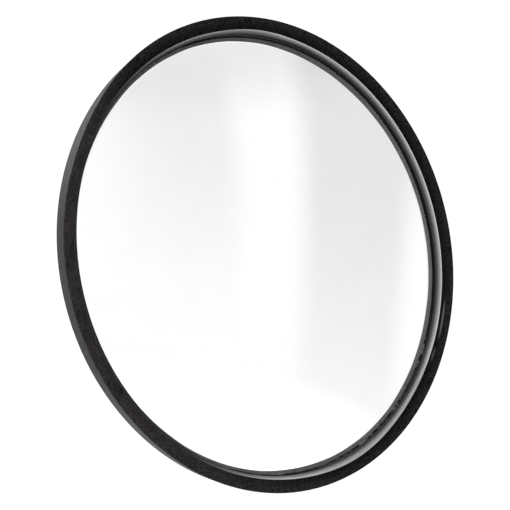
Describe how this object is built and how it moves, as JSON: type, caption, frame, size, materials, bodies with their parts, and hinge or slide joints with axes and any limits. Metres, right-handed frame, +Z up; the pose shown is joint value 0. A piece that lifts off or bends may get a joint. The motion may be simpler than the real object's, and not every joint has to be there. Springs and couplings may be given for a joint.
{
  "type": "convex security mirror",
  "caption": "Round convex mirror in a chunky black rubber rim, carried off the wall by a short arm that pans and tilts, with a hand knob to clamp each joint.",
  "frame": {"origin": "centre of the wall plate's rear face, which lies on the wall", "axes": "+Z up, the mirror looks along -Y and the wall is the plane y = 0"},
  "size_m": [0.45, 0.2515, 0.45],
  "materials": {
    "rim_rubber": "satin-matt moulded rubber with a fine grain",
    "mirror_face": "polished metallised acrylic",
    "seal_rubber": "smooth dark grey rubber",
    "sealant": "cured black sealant, lumpy",
    "foam_tape": "closed-cell foam",
    "hardboard": "tempered hardboard, smooth side out",
    "zinc_plate": "bright zinc plate over pressed steel",
    "zinc_fastener": "bright zinc plate, turned",
    "spring_steel": "dark tempered spring steel",
    "black_nylon": "glass-filled nylon, fine spark texture",
    "brass_insert": "turned brass",
    "cast_alloy": "black powder coat over a casting",
    "white_nylon": "natural nylon",
    "powder_coat": "black powder coat, fine orange peel"
  },
  "bodies": {
    "wall": {"wall_bracket": "zinc_plate", "pan_bolt": "zinc_fastener", "pan_washer": "zinc_fastener", "pan_spring_washer": "spring_steel"},
    "arm": {"pan_knuckle": "cast_alloy", "pan_bushes": "white_nylon", "arm_tube": "powder_coat", "arm_pins": "spring_steel", "tilt_knuckle": "cast_alloy", "tilt_bushes": "white_nylon"},
    "head": {"edge_trim": "rim_rubber", "mirror_dome": "mirror_face", "lip_seal": "seal_rubber", "sealant_bead": "sealant", "foam_ring": "foam_tape", "back_panel": "hardboard", "inner_plate": "zinc_plate", "hub_bolts": "zinc_fastener", "hub_washers": "zinc_fastener", "hub_nuts": "zinc_fastener", "hub_bracket": "zinc_plate", "tilt_bolt": "zinc_fastener", "tilt_washer": "zinc_fastener", "tilt_spring_washer": "spring_steel"},
    "pan_clamp": {"pan_knob": "black_nylon", "pan_knob_insert": "brass_insert"},
    "tilt_clamp": {"tilt_knob": "black_nylon", "tilt_knob_insert": "brass_insert"}
  },
  "joints": [
    {"name": "pan", "type": "hinge", "parent": "wall", "child": "arm", "pos_m": [0, -0.03, 0], "axis": [0, 0, 1], "range_deg": [-40, 40]},
    {"name": "tilt", "type": "hinge", "parent": "arm", "child": "head", "pos_m": [0, -0.18, 0], "axis": [1, 0, 0], "range_deg": [-20, 45]},
    {"name": "pan_knob_turn", "type": "hinge", "parent": "wall", "child": "pan_clamp", "pos_m": [0, -0.03, -0.028], "axis": [0, 0, -1], "range_deg": [0, 360]},
    {"name": "tilt_knob_turn", "type": "hinge", "parent": "head", "child": "tilt_clamp", "pos_m": [0.028, -0.18, 0], "axis": [1, 0, 0], "range_deg": [0, 360]}
  ]
}
